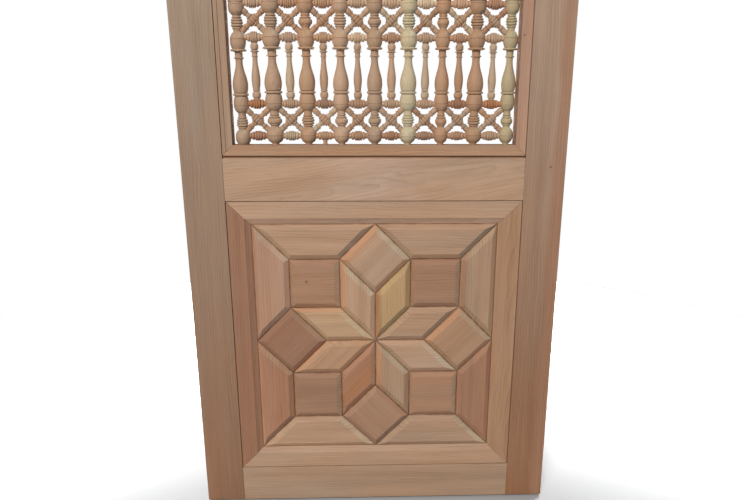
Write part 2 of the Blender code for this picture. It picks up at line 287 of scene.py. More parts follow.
def wood(name, ring_spacing, ring_depth, streak_depth, fibre_depth, fleck_depth):
    """Unfinished hardwood, in the piece's own grain, with grime, glue and painted shade dark in the
    grooves' bottoms.
    """
    material = bpy.data.materials.new(name)
    material.use_nodes = True
    nodes = Nodes(material)
    shader = material.node_tree.nodes["Principled BSDF"]
    shader.inputs["Specular IOR Level"].default_value = SPECULAR

    grain = nodes.attribute("grain").outputs["Vector"]
    share = end_share(nodes)
    end_gain = nodes.remap(share, 0, 1, 1, END_RING_GAIN)
    ring = nodes.math("MULTIPLY", growth_rings(nodes, grain, ring_spacing), end_gain)
    streaks = nodes.remap(nodes.noise(grain, (1.6, 34, 34), 3.0, 0.6), 0.3, 0.7)
    hue = nodes.remap(nodes.noise(grain, (2.4, 19, 19)), 0.35, 0.65)
    fibres = nodes.remap(nodes.noise(grain, (14, 520, 520), 3.0, 0.65), 0.3, 0.7)
    flecks = nodes.remap(nodes.noise(grain, (230, 900, 900), 1.0), 0.62, 0.72)

    warm = nodes.blend("MULTIPLY", hue, ground_tone(nodes, grain), (*WARM_TONE, 1))
    depth = nodes.math("MULTIPLY", ring, ring_depth)
    depth = nodes.math("MULTIPLY_ADD", streaks, streak_depth, depth)
    depth = nodes.math("MULTIPLY_ADD", fibres, fibre_depth, depth)
    depth = nodes.math("MULTIPLY_ADD", flecks, fleck_depth, depth)
    darker = nodes.blend("MULTIPLY", nodes.math("MINIMUM", depth, 1.0), warm, (*FIGURE_TONE, 1))
    finished = knots(nodes, grain, end_grain_with_painted_light(nodes, share, darker))

    # Dirt and painted shade: the grooves grow darker the farther back they lie
    recess = nodes.attribute("recess").outputs["Fac"]
    patchy = nodes.remap(nodes.noise(grain, (30, 60, 60)), 0.35, 0.6, 0.35, 1.0)
    dirt_and_painted_shade = nodes.math("MULTIPLY", nodes.remap(recess, 0.74, 1.0, smooth=True), patchy)
    nodes.feed(shader.inputs["Base Color"], nodes.blend("MULTIPLY", dirt_and_painted_shade, finished, (*RECESS_DIRT_AND_SHADE_TONE, 1)))

    nodes.feed(shader.inputs["Roughness"], nodes.remap(fibres, 0, 1, *ROUGHNESS))
    relief = nodes.math("ADD", nodes.math("MULTIPLY", fibres, 0.6), nodes.math("MULTIPLY", ring, 0.4))
    inputs = {"Strength": BUMP_STRENGTH, "Distance": BUMP_DEPTH, "Height": relief}
    bump = nodes.add("ShaderNodeBump", inputs)
    nodes.feed(shader.inputs["Normal"], bump.outputs["Normal"])
    return material


# Meshes that carry the wood's own axes and tone


def finish_piece(name, mesh, material, node):
    """A scene piece that stands for a CAD node and keeps its material slot."""
    mesh.materials.append(material)
    piece = bpy.data.objects.new(name, mesh)
    bpy.context.scene.collection.objects.link(piece)
    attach(piece, "root")
    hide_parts(node)
    return piece


def put_attribute(mesh, name, kind, values):
    """Gives each vertex of a mesh its value."""
    field = {"FLOAT_VECTOR": "vector", "FLOAT_COLOR": "color", "FLOAT": "value"}[kind]
    attribute = mesh.attributes.new(name, kind, "POINT")
    attribute.data.foreach_set(field, np.asarray(values, np.float32).ravel())


# A piece without a knot or a streak has it far off
FAR_OFF = 9.0
NO_KNOT = (0, 0, FAR_OFF, 0.001)


def put_wood(mesh, grain, along, tone, streak=None, streak_place=FAR_OFF, knot=NO_KNOT, recess=0.0):
    """Gives each vertex its place in the wood, the wood's direction, and what is painted there."""
    count = len(mesh.vertices)
    opaque = np.ones((count, 1))
    put_attribute(mesh, "grain", "FLOAT_VECTOR", grain)
    put_attribute(mesh, "along", "FLOAT_VECTOR", np.broadcast_to(along, (count, 3)))
    put_attribute(mesh, "tone", "FLOAT_COLOR", np.hstack([np.broadcast_to(tone, (count, 3)), opaque]))
    shown = np.zeros(4) if streak is None else np.array((*linear(streak), STREAK_STRENGTH))
    put_attribute(mesh, "streak", "FLOAT_COLOR", np.broadcast_to(shown, (count, 4)))
    put_attribute(mesh, "streak_place", "FLOAT", np.broadcast_to(streak_place, count))
    put_attribute(mesh, "knot", "FLOAT_COLOR", np.broadcast_to(knot, (count, 4)))
    put_attribute(mesh, "recess", "FLOAT", np.broadcast_to(recess, count))


# Planed pieces: their eased arrises, and the angles in degrees at which faces count as one or as parted
ARRIS = 0.0006
SAME_POINT = 0.00001
SAME_FACE_ANGLE = 1
ARRIS_ANGLE = 20
SHADE_ANGLE = 24

# Dirt and painted shade lie in the grooves between the tiles, but not on what is farther back than this
# many groove depths
GROOVE_DEPTH = 0.0110
GROOVE_LIMIT = 1.2
FRONT = cad_box[0][1]

# Knots as the photograph shows them: across and up the leaf from its lower left corner, and how wide
KNOTS = {
    "square_tile_top_left": (0.3128, 0.6727, 0.0042),
    "stile_right": (0.9610, 0.9800, 0.0036),
    "lattice_moulding_right": (0.8722, 1.3017, 0.0034),
}


def eased_mesh(node):
    """A CAD node's shape with its arrises eased."""
    bm = bmesh.new()
    bm.from_mesh(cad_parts[node].data)
    bmesh.ops.remove_doubles(bm, verts=bm.verts, dist=SAME_POINT)
    bmesh.ops.dissolve_limit(bm, angle_limit=math.radians(SAME_FACE_ANGLE), verts=bm.verts, edges=bm.edges)
    least = math.radians(ARRIS_ANGLE)
    sharp = [edge for edge in bm.edges if edge.is_manifold and edge.calc_face_angle(0) > least]
    bmesh.ops.bevel(
        bm, geom=sharp, offset=ARRIS, segments=2, profile=0.5, affect="EDGES", clamp_overlap=True
    )
    bmesh.ops.triangulate(bm, faces=bm.faces)
    mesh = bpy.data.meshes.new(node + "_planed")
    bm.to_mesh(mesh)
    bm.free()
    mesh.shade_smooth()
    mesh.set_sharp_from_angle(angle=math.radians(SHADE_ANGLE))
    return mesh


def planed(
    node, material, tone, angle, pith, tilt=0.0, bend=0.0, light=1.0,
    far_tone_with_painted_light=None, streak=None, grooved=False,
):
    """A CAD node's shape in wood whose grain runs at an angle from the leaf's X axis.

    The pith lies that far across and behind the piece's middle; a tilt or a bend leads it away along the
    piece. A far tone is the one that the wood turns to by its right or top end: partly the wood's own
    change of tone and partly painted light. The streak is its tone, how far across the grain from the
    piece's middle it lies, and its half width; a fourth value, True, sets it across the grain instead of
    along it. A grooved piece is painted darker down its bevels, with grime and painted shade.
    """
    mesh = eased_mesh(node)
    low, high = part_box(node)
    middle = (np.array(low) + np.array(high)) / 2
    places = np.zeros(len(mesh.vertices) * 3)
    mesh.vertices.foreach_get("co", places)
    places = places.reshape(-1, 3)
    turn = math.radians(angle)
    along = np.array((math.cos(turn), 0, math.sin(turn)))
    sideways = np.array((-math.sin(turn), 0, math.cos(turn)))
    start = random.Random(node).uniform(-GRAIN_REACH, GRAIN_REACH)

    def wood_place(place):
        local = place - middle
        lengthwise = local @ along
        across = local @ sideways + pith[0] + lengthwise * bend
        through = local[:, 1] + pith[1] + lengthwise * tilt
        return np.column_stack([lengthwise + start, across, through])

    lengthwise = (places - middle) @ along
    across = (places - middle) @ sideways
    streak_tone, streak_place = None, FAR_OFF
    if streak:
        streak_tone, offset, half_width = streak[:3]
        distance = lengthwise if streak[3:] else across
        streak_place = (distance - offset) / half_width
    share = (lengthwise - lengthwise.min()) / np.ptp(lengthwise)
    # The far tone is partly painted light: the stiles paler and greyer towards the top
    colour = linear(tone) + (linear(far_tone_with_painted_light or tone) - linear(tone)) * share[:, None]
    knot = NO_KNOT
    if node in KNOTS:
        right, up, radius = KNOTS[node]
        centre = np.array([[right, FRONT, cad_box[0][2] + up]])
        knot = (*wood_place(centre)[0], radius)
    # Dirt and painted shade, deeper down the bevels of a grooved piece
    behind = (places[:, 1] - FRONT) / GROOVE_DEPTH
    recess = np.where(behind < GROOVE_LIMIT, np.clip(behind, 0, 1), 0) if grooved else 0.0
    put_wood(mesh, wood_place(places), along, colour * light, streak_tone, streak_place, knot, recess)
    piece = finish_piece(node + "_wood", mesh, material, node)
    shading = piece.modifiers.new("Flat faces", "WEIGHTED_NORMAL")
    shading.mode = "FACE_AREA"
    shading.weight = 100
    shading.keep_sharp = True


# Turned pieces. A profile is the outer envelope of simple features, each a span of heights with its radii.
# Its heights in metres are rounded to this many places, and a step between two features has a width.
PLACES = 6
STEP_WIDTH = 0.00006
SLACK = 0.000001
BEAD_STEPS = 8
DOME_STEPS = 5

# A groove's floor as a share of its half width, how steep its sides are, and how much darker its dirt and
# painted shade make it
GROOVE_FLOOR = 0.45
GROOVE_STEEPNESS = 1.6
GROOVE_DIRT_AND_PAINTED_SHADE = 0.34


def span(low, high, radius, steps):
    """A feature from one height to another, whose radius is a function of the share of the way up."""
    shares = (1 - np.cos(np.linspace(0, math.pi, steps + 1))) / 2
    return round(low, PLACES), round(high, PLACES), radius, shares


def neck(low, high, start, end=None):
    """A straight run, which may taper."""
    end = start if end is None else end
    return span(low, high, lambda share: start + (end - start) * share, 1)


def bead(centre, half, radius, rest, fullness):
    """A rounded swelling out from a resting radius. It is an ellipse at fullness 2 and squarer above it."""
    def outline(share):
        reach = np.abs(2 * share - 1)
        return rest + (radius - rest) * (1 - reach**fullness) ** (1 / fullness)

    return span(centre - half, centre + half, outline, BEAD_STEPS)


def slope(low, high, start, end, steps):
    """An S-shaped run from one radius to another."""
    return span(low, high, lambda share: start + (end - start) * (1 - np.cos(math.pi * share)) / 2, steps)


def dome(low, high, start, end):
    """A run that leaves one radius slowly and reaches the other fast."""
    return span(low, high, lambda share: end + (start - end) * np.cos(math.pi / 2 * share), DOME_STEPS)


def profile(features, grooves=()):
    """Heights, radii and groove darkening of a turned outline, grime and painted shade in its grooves. A
    groove is its height, depth and half width.
    """
    heights = set()
    for low, high, radius, shares in features:
        heights.update(round(float(low + (high - low) * share), PLACES) for share in shares)
        heights.update((round(low - STEP_WIDTH, PLACES), round(high + STEP_WIDTH, PLACES)))
    for height, depth, half in grooves:
        heights.update(round(height + side * half, PLACES) for side in (-1, -GROOVE_FLOOR, GROOVE_FLOOR, 1))
    lowest = min(feature[0] for feature in features)
    highest = max(feature[1] for feature in features)
    ordered = np.array(sorted(height for height in heights if lowest <= height <= highest))
    radii = np.zeros(len(ordered))
    for low, high, radius, shares in features:
        share = (ordered - low) / (high - low)
        inside = np.abs(share - 0.5) < 0.5 + SLACK
        radii[inside] = np.maximum(radii[inside], radius(np.clip(share[inside], 0, 1)))
    groove_dirt_and_shade = np.ones(len(ordered))
    for height, depth, half in grooves:
        nearness = np.clip(GROOVE_STEEPNESS * (1 - np.abs(ordered - height) / half), 0, 1)
        radii -= depth * nearness
        # Dirt and painted shade darken the groove
        groove_dirt_and_shade *= 1 - GROOVE_DIRT_AND_PAINTED_SHADE * nearness
    return ordered, radii, groove_dirt_and_shade


class Turnery:
    """A mesh of separate turned pieces, each with its own grain and tone."""

    def __init__(self):
        self.verts = []
        self.faces = []
        self.grain = []
        self.along = []
        self.tones = []
        self.count = 0

    def add(self, outline, base, axis, sides, tone, dice, fullness=1.0, light=1.0):
        """Turns an outline about an axis that starts at a base."""
        heights, radii, groove_dirt_and_shade = outline
        rings = len(heights)
        angles = np.arange(sides) * 2 * math.pi / sides
        circle = np.column_stack([np.cos(angles), np.sin(angles)])
        flat = circle[None, :, :] * (radii * fullness)[:, None, None]
        local = np.concatenate([flat, np.broadcast_to(heights[:, None, None], (rings, sides, 1))], axis=2)
        local = local.reshape(-1, 3)
        turn = np.array(Vector(axis).to_track_quat("Z", "Y").to_matrix())
        self.verts.append(local @ turn.T + np.array(base))
        index = self.count + np.arange(rings * sides).reshape(rings, sides)
        beside = np.roll(index, -1, axis=1)
        quads = np.stack([index[:-1], beside[:-1], beside[1:], index[1:]], axis=-1).reshape(-1, 4)
        self.faces += quads.tolist()
        self.faces.append(index[0, ::-1].tolist())
        self.faces.append(index[-1].tolist())
        self.count += rings * sides
        pith_turn = dice.uniform(0, 2 * math.pi)
        pith = np.array((math.cos(pith_turn), math.sin(pith_turn))) * dice.uniform(*PITH_RANGE)
        start = dice.uniform(-GRAIN_REACH, GRAIN_REACH)
        across, through = local[:, 0] + pith[0], local[:, 1] + pith[1]
        self.grain.append(np.column_stack([local[:, 2] + start, across, through]))
        self.along.append(np.broadcast_to(turn[:, 2], (len(local), 3)))
        colour = linear(tone) * light * dice.uniform(*LIGHT_RANGE)
        self.tones.append(np.repeat(groove_dirt_and_shade, sides)[:, None] * colour[None, :])

    def finish(self, name, material, node):
        """Makes the pieces so far one scene piece, which stands for a CAD node."""
        mesh = bpy.data.meshes.new(name)
        mesh.from_pydata(np.concatenate(self.verts).tolist(), [], self.faces)
        mesh.shade_smooth()
        mesh.set_sharp_from_angle(angle=math.radians(TURNED_SHADE_ANGLE))
        put_wood(mesh, np.concatenate(self.grain), np.concatenate(self.along), np.concatenate(self.tones))
        finish_piece(name, mesh, material, node)


def row_heights():
    """The rows of balls, from the lowest one."""
    heights = [0.0]
    for cell in range(CROSS_CELLS + VASE_CELLS):
        heights.append(heights[-1] + (VASE_CELL if cell % 2 else CROSS_CELL))
    return heights


# Spindles: the neck that runs through them, their balls, and how far above or below the links' height the
# balls of each row are turned
NECK_RADIUS = 0.0085
BALL_HALF = 0.0218
BALL_FULLNESS = 2.25
BALL_LIFTS = (0.0018, 0.0030, -0.0023, -0.0040)

# Grooves, each as its depth and half width. A vase's two start with their rise above the lower row.
BALL_GROOVE = (0.0007, 0.0009)
VASE_GROOVES = ((0.0244, 0.0016, 0.0012), (0.0314, 0.0012, 0.0011))


def spindle_outline(dice, foot, styles, drop):
    """Balls, and between them in turn a group of beads or a vase, from the lowest row's height.

    A spindle may be turned or set a little low, so that all but its ends lies that far below the rows.
    """
    top = row_heights()[-1]
    rows = [height - drop for height in row_heights()]
    features = [neck(-foot, top + foot, NECK_RADIUS)]
    grooves = []
    for row, height in enumerate(rows):
        middle = height + BALL_LIFTS[row % len(BALL_LIFTS)]
        features.append(bead(middle, BALL_HALF, BALL_RADIUS, 0.0, BALL_FULLNESS))
        grooves.append((height + dice.uniform(-0.0020, 0.0015), *BALL_GROOVE))
    for cell, (low, high) in enumerate(zip(rows, rows[1:])):
        if cell % 2 == 0:
            features += bead_group(low, styles[cell // 2 % len(styles)], dice)
        else:
            features += vase(low, high, dice)
            grooves += [(low + rise, depth, half) for rise, depth, half in VASE_GROOVES]
    heights, radii, groove_dirt_and_shade = profile(features, grooves)
    kept = heights > -foot - SLACK
    return heights[kept], radii[kept], groove_dirt_and_shade[kept]


# The group of beads in a cross cell: its middle's rise above the lower row, the neck that it sits on, and
# the radius that its beads swell from
GROUP_RISE = 0.0376
GROUP_NECK_LOW = 0.0150
GROUP_NECK_HIGH = 0.0640
GROUP_NECK_RADIUS = 0.0104
GROUP_REST = 0.0108

# Its beads, each as its rise from the group's middle, its half height and its radius
RIDGES = (
    (-0.0112, 0.0022, 0.0132),
    (-0.0048, 0.0034, 0.0154),
    (0.0018, 0.0032, 0.0160),
    (0.0078, 0.0028, 0.0150),
    (0.0138, 0.0018, 0.0128),
)
FAT_BEAD = (
    (-0.0098, 0.0018, 0.0134),
    (-0.0008, 0.0074, 0.0170),
    (0.0086, 0.0020, 0.0144),
    (0.0150, 0.0016, 0.0124),
)


def bead_group(low, style, dice):
    """Ridges, or a fat bead between rings, on the neck above a ball."""
    middle = low + GROUP_RISE + dice.uniform(-0.0012, 0.0012)
    features = [neck(low + GROUP_NECK_LOW, low + GROUP_NECK_HIGH, GROUP_NECK_RADIUS)]
    for rise, half, radius in RIDGES if style == "ridges" else FAT_BEAD:
        turned = radius * dice.uniform(*BEAD_RANGE)
        features.append(bead(middle + rise, half, turned, GROUP_REST, 2.4))
    return features


# Vases: their widest and their slimmest radius
VASE_RADIUS = 0.0205
STEM_RADIUS = 0.0092


def vase(low, high, dice):
    """A ring on the lower ball, a vase, a slim stem with a thin disc, and a collar under the upper ball.

    Its heights run up from the lower row of balls or down from the upper one.
    """
    belly = low + 0.0490 + dice.uniform(-0.0020, 0.0020)
    features = [dome(low + 0.0070, low + 0.0262, 0.0207, 0.0166)]
    features.append(bead(low + 0.0278, 0.0034, 0.0209, 0.0168, 2.8))
    features.append(dome(belly, low + 0.0292, VASE_RADIUS, 0.0172))
    features.append(slope(belly, high - 0.0520, VASE_RADIUS, STEM_RADIUS, 10))
    features.append(neck(high - 0.0530, high - 0.0420, STEM_RADIUS, 0.0098))
    features.append(bead(high - 0.0426, 0.0021, 0.0130, 0.0090, 3))
    features.append(neck(high - 0.0420, high - 0.0250, 0.0100, 0.0106))
    features.append(bead(high - 0.0248, 0.0029, 0.0210, 0.0140, 2.6))
    features.append(dome(high - 0.0070, high - 0.0234, 0.0206, 0.0150))
    return features


# The links' thickness and lightness in each row, from below, how their ends taper towards the balls, and
# how far they sink into them
LINK_RADII = (0.0122, 0.0126, 0.0134, 0.0130)
LINK_LIGHTS = (1.06, 1.10, 1.20, 1.28)
LINK_TAPER = (0.0092, 0.0068)
LINK_SINK = 0.0012


def link_outline(ribs, radius, half, reach):
    """A ribbed barrel with tapered ends, along its own axis from the centre of the ball at its left."""
    middle = COLUMN_PITCH / 2
    features = [bead(middle, half, radius, radius * 0.80, 2.6)]
    step = 2 * half / (ribs + 1)
    grooves = [(middle - half + step * (rib + 1), 0.0016, 0.0012) for rib in range(ribs)]
    for side in (-1, 1):
        low, high = sorted((middle + side * (half - 0.0010), middle + side * reach))
        features.append(neck(low, high, *LINK_TAPER[::side]))
        features.append(bead(middle + side * (half + 0.0042), 0.0034, 0.0103, 0.0080, 2.4))
        grooves.append((middle + side * (half + 0.0004), 0.0014, 0.0010))
        grooves.append((middle + side * (half + 0.0084), 0.0010, 0.0010))
    return profile(features, grooves)


# Diagonal sticks, along their own axis from one ball's centre to the other's. Near each end a groove and a
# ring part the thick end from the waist.
STICK_RUN = math.hypot(COLUMN_PITCH, CROSS_CELL)
STICK_START = 0.0186
STICK_RADIUS = 0.0076
STICK_WAIST = 0.0060
STICK_RING = 0.0165
STICK_GROOVE = STICK_START + STICK_RING - 0.0027
STICK_GROOVE_CUT = (0.0013, 0.0010)


def stick_end(ball, reach):
    """A thick end from a ball to a ring, then a waist to the crossing, along the stick's axis."""
    way = 1 if reach > ball else -1
    start = ball + way * STICK_START
    ring = start + way * STICK_RING
    thick = neck(*sorted((start, ring)), STICK_RADIUS)
    waist = neck(*sorted((ring, reach)), STICK_WAIST)
    return [thick, waist, bead(ring, 0.0016, 0.0085, 0.0060, 3)]


def whole_stick_outline():
    """A diagonal stick with a grooved barrel in its middle, from the ball's centre."""
    middle = STICK_RUN / 2
    features = stick_end(0.0, middle) + stick_end(STICK_RUN, middle)
    features.append(bead(middle, 0.0106, 0.0116, 0.0088, 2.8))
    for side in (-1, 1):
        features.append(bead(middle + side * 0.0124, 0.0016, 0.0094, 0.0066, 3))
    grooves = [(middle + side * 0.0036, 0.0018, 0.0013) for side in (-1, 1)]
    grooves += [(height, *STICK_GROOVE_CUT) for height in (STICK_GROOVE, STICK_RUN - STICK_GROOVE)]
    return profile(features, grooves)


def half_stick_outline():
    """Half of the stick that the whole one cuts, from the ball's centre to a ring against the barrel."""
    reach = STICK_RUN / 2 - 0.0092
    features = [*stick_end(0.0, reach), bead(reach - 0.0022, 0.0020, 0.0090, 0.0060, 3)]
    return profile(features, [(STICK_GROOVE, *STICK_GROOVE_CUT)])


# Small balusters: their widest and their slimmest radius
BALUSTER_RADIUS = 0.0108
BALUSTER_STEM = 0.0060


def baluster_outline(dice):
    """A small baluster, from the centre of the link that it stands on to the one above.

    Its heights run up from the lower link or down from the upper one.
    """
    belly = 0.0560 + dice.uniform(-0.0040, 0.0040)
    features = [neck(0.0090, VASE_CELL - 0.0090, BALUSTER_STEM)]
    features.append(neck(0.0090, 0.0180, 0.0066, 0.0076))
    features.append(bead(0.0215, 0.0082, 0.0106, 0.0062, 2.3))
    features.append(bead(0.0318, 0.0014, 0.0098, 0.0068, 3))
    features.append(dome(belly, 0.0330, BALUSTER_RADIUS, 0.0080))
    features.append(slope(belly, 0.1070, BALUSTER_RADIUS, BALUSTER_STEM, 9))
    features.append(bead(VASE_CELL - 0.0440, 0.0016, 0.0078, BALUSTER_STEM, 3))
    features.append(neck(VASE_CELL - 0.0430, VASE_CELL - 0.0330, 0.0064, 0.0070))
    features.append(bead(VASE_CELL - 0.0326, 0.0018, 0.0106, BALUSTER_STEM, 3))
    features.append(bead(VASE_CELL - 0.0220, 0.0084, 0.0098, 0.0056, 2.0))
    return profile(features)


# Each spindle's tone, how much fuller than the others it is turned, and its beads in the cells from below
SPINDLES = (
    ("oak", 0.94, ("ridges", "ridges")),
    ("oak", 1.07, ("fat bead", "ridges")),
    ("ochre", 1.01, ("ridges", "fat bead")),
    ("tan", 0.98, ("fat bead", "ridges")),
    ("oak", 0.95, ("fat bead", "fat bead")),
    ("straw", 1.02, ("ridges", "ridges")),
    ("ochre", 0.89, ("fat bead", "fat bead")),
    ("ochre", 1.02, ("ridges", "ridges")),
    ("khaki", 0.88, ("fat bead", "ridges")),
)

# How far a spindle stands to the right of its place and below it
OFFSETS = {1: (0.0030, 0.0060)}

# The peg from the lowest link of one bay down to just above the moulding
PEG_BAY = 3
PEG_RADIUS = 0.0055
PEG_GAP = 0.0002

# The letters that stand for the small pieces' tones below
SMALL_TONES = {
    "s": "straw",
    "p": "pale",
    "t": "tan",
    "k": "oak",
    "o": "ochre",
    "u": "umber",
    "r": "rose",
    "a": "amber",
}
COMMON_TONES = "tkkouup"

# For each row or cell that the photograph shows, from below: a letter for each bay from first to last
LINK_TONES = ("rpooruot", "akuuktra", "kkopukuk", "kuukkpor")
WHOLE_STICK_TONES = ("kktokkkk", "ooookkok")
HALF_STICK_TONES = ("okpkkuko", "kkkkpupr")
BALUSTER_TONES = ("tptttpop",)


def small_tone(rows, row, column, dice):
    """The tone that the photograph shows, or above its edge any of the commoner ones."""
    letter = rows[row][column - 1] if row < len(rows) else dice.choice(COMMON_TONES)
    return SMALL_TONES[letter]


def add_links(links, column, base, fullness, dice):
    """A link in every row, which sinks a little into the balls at its sides."""
    reach = COLUMN_PITCH / 2 - BALL_RADIUS * min(fullness) + LINK_SINK
    for row, height in enumerate(row_heights()):
        kind = row % len(LINK_RADII)
        ribs = dice.choice(RIB_COUNTS)
        radius = LINK_RADII[kind] * dice.uniform(*LINK_RANGE)
        outline = link_outline(ribs, radius, dice.uniform(*BARREL_RANGE), reach)
        tone = small_tone(LINK_TONES, row, column, dice)
        links.add(outline, base + UP * height, RIGHT, SMALL_SIDES, tone, dice, light=LINK_LIGHTS[kind])


def add_crosses(crosses, column, base, dice):
    """A whole stick and two halves in every cross cell. The whole one leans right and left in turn."""
    rows = row_heights()
    rising = (RIGHT * COLUMN_PITCH + UP * CROSS_CELL).normalized()
    falling = (RIGHT * COLUMN_PITCH - UP * CROSS_CELL).normalized()
    for cell in range(CROSS_CELLS):
        bottom, top = base + UP * rows[2 * cell], base + UP * rows[2 * cell + 1]
        ways = [(bottom, rising), (top, falling)]
        if (cell + column) % 2:
            ways.reverse()
        (start, axis), (other, across) = ways
        tone = small_tone(WHOLE_STICK_TONES, cell, column, dice)
        crosses.add(whole_stick_outline(), start, axis, SMALL_SIDES, tone, dice)
        tone = small_tone(HALF_STICK_TONES, cell, column, dice)
        crosses.add(half_stick_outline(), other, across, SMALL_SIDES, tone, dice)
        crosses.add(half_stick_outline(), other + across * STICK_RUN, -across, SMALL_SIDES, tone, dice)


def add_balusters(balusters, column, base, dice):
    """A small baluster in the middle of every vase cell."""
    rows = row_heights()
    for cell in range(VASE_CELLS):
        foot = base + RIGHT * (COLUMN_PITCH / 2) + UP * rows[2 * cell + 1]
        tone = small_tone(BALUSTER_TONES, cell, column, dice)
        outline = baluster_outline(dice)
        fullness = dice.uniform(*BALUSTER_RANGE)
        balusters.add(outline, foot, UP, SMALL_SIDES, tone, dice, fullness)


def bay(column, base, fullness, material, dice):
    """The separate turned pieces between one spindle and the next."""
    links, crosses, balusters = Turnery(), Turnery(), Turnery()
    add_links(links, column, base, fullness, dice)
    add_crosses(crosses, column, base, dice)
    add_balusters(balusters, column, base, dice)
    if column == PEG_BAY:
        peg = profile([neck(0.0, FIRST_ROW_RISE - PEG_GAP, PEG_RADIUS)])
        links.add(peg, base + RIGHT * (COLUMN_PITCH / 2), -UP, SMALL_SIDES, "oak", dice)
    for kind, pieces in (("links", links), ("crosses", crosses), ("balusters", balusters)):
        pieces.finish(f"bay_{column}_{kind}", material, f"lattice_column_{column}")


def lattice(material):
    """The spindles, and the small pieces of the bay at each one's right."""
    low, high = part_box("lattice_column_9")
    last_x = (low[0] + high[0]) / 2
    first_z = low[2] + FIRST_ROW_RISE
    for column, (tone, fullness, styles) in enumerate(SPINDLES, 1):
        node = f"lattice_column_{column}"
        dice = random.Random(node)
        base = Vector((last_x - (COLUMNS - column) * COLUMN_PITCH, 0, first_z))
        right, drop = OFFSETS.get(column, (0, 0))
        spindle = Turnery()
        outline = spindle_outline(dice, FIRST_ROW_RISE, styles, drop)
        spindle.add(outline, base + RIGHT * right, UP, SPINDLE_SIDES, tone, dice, fullness)
        spindle.finish(f"spindle_{column}", material, node)
        if column < COLUMNS:
            bay(column, base, (fullness, SPINDLES[column][1]), material, dice)


def star_panel(material):
    """The tiles: tone, direction of the grain, light, and any streak of another tone."""
    tiles = {
        "edge_tile_top_left": ("tan", 0, 1.0, None),
        "edge_tile_top_right": ("tan", 0, 0.96, None),
        "edge_tile_left_upper": ("pink", 90, 1.0, None),
        "edge_tile_left_lower": ("clay", 90, 0.88, ("apricot", 0.050, 0.008)),
        "edge_tile_bottom_left": ("tan", 0, 1.02, None),
        "edge_tile_bottom_right": ("oak", 0, 1.03, None),
        "edge_tile_right_lower": ("rose", 90, 1.0, None),
        "edge_tile_right_upper": ("oak", 90, 0.98, ("rose", 0.04, 0.006)),
        "square_tile_top_left": ("umber", 0, 1.05, None),
        "square_tile_top_right": ("umber", 0, 0.97, None),
        "square_tile_bottom_left": ("umber", 0, 0.92, None),
        "square_tile_bottom_right": ("umber", 0, 1.10, None),
        "square_tile_top": ("tan", 45, 0.97, ("apricot", 0.056, 0.016)),
        "square_tile_right": ("ochre", 45, 0.95, ("apricot", 0.060, 0.010)),
        "square_tile_left": ("rose", 45, 0.92, None),
        "square_tile_bottom": ("umber", -45, 1.09, None),
        "point_tile_top_left": ("tan", 90, 1.03, ("apricot", 0.040, 0.012)),
        "point_tile_top_right": ("honey", 90, 0.96, ("amber", 0.042, 0.009)),
        "point_tile_left_upper": ("wheat", 0, 1.03, ("apricot", 0.044, 0.010)),
        "point_tile_left_lower": ("ochre", 45, 1.08, ("apricot", 0.052, 0.010)),
        "point_tile_bottom_left": ("clay", 45, 0.93, ("amber", -0.01, 0.02)),
        "point_tile_bottom_right": ("oak", 90, 0.95, ("apricot", 0.038, 0.008)),
        "point_tile_right_lower": ("tan", 0, 1.05, None),
        "point_tile_right_upper": ("tan", 0, 0.97, None),
    }
    for node, (tone, angle, light, streak) in tiles.items():
        dice = random.Random(node)
        pith = (dice.choice((-1, 1)) * dice.uniform(0.05, 0.12), dice.uniform(0.01, 0.05))
        tilt = dice.uniform(-0.03, 0.03)
        planed(node, material, tone, angle, pith, tilt=tilt, light=light, streak=streak, grooved=True)


# Where a streak of painted light lies on a panel frame strip's bevel: how far from the strip's middle, and
# half the bevel's width
BEVEL_PAINTED_LIGHT_PLACE = (-0.0232, 0.0075)


def boards(material):
    """The stiles, the rails, the panel frame and the moulding: tone, grain's direction and pith."""
    side = ("rose", -0.036, 0.016)
    patch = ("shell", 0, 0.12, True)
    # Painted light on the frame's bevels: a pale streak on the top strip's down-facing bevel for bounce
    # light from below, and a grey one on the left strip's right-facing bevel for cool light from the room
    upper = ("shell", *BEVEL_PAINTED_LIGHT_PLACE)
    left = ("ash", *BEVEL_PAINTED_LIGHT_PLACE)
    # The stiles turn paler and greyer towards their tops, partly their own tone and partly painted light:
    # cool light from above, warm light from the floor below
    planed("stile_left", material, "chestnut", 90, (0.11, 0.02), tilt=0.004, far_tone_with_painted_light="dove")
    planed("stile_right", material, "russet", 90, (-0.09, 0.03), tilt=-0.006, far_tone_with_painted_light="buff", streak=side)
    planed("rail_bottom", material, "oak", 0, (-0.10, 0.03), tilt=0.01, light=0.95)
    planed("rail_middle", material, "tan", 0, (0.02, 0.05), tilt=0.05, bend=-0.14, streak=patch)
    planed("rail_top", material, "tan", 0, (0.03, 0.06), tilt=0.03, bend=0.05)
    planed("panel_frame_top", material, "tan", 0, (0.04, 0.05), tilt=0.03, streak=upper)
    planed("panel_frame_bottom", material, "tan", 0, (0.07, 0.03), tilt=0.01, light=0.97)
    planed("panel_frame_left", material, "rose", 90, (0.08, 0.01), tilt=0.004, light=0.94, streak=left)
    planed("panel_frame_right", material, "ochre", 90, (0.03, 0.05), tilt=0.03, light=0.95)
    planed("lattice_moulding_bottom", material, "ochre", 0, (0.06, 0.03))
    planed("lattice_moulding_top", material, "ochre", 0, (0.05, 0.03))
    planed("lattice_moulding_left", material, "oak", 90, (0.06, 0.02), light=0.88)
    planed("lattice_moulding_right", material, "pink", 90, (0.05, 0.02))


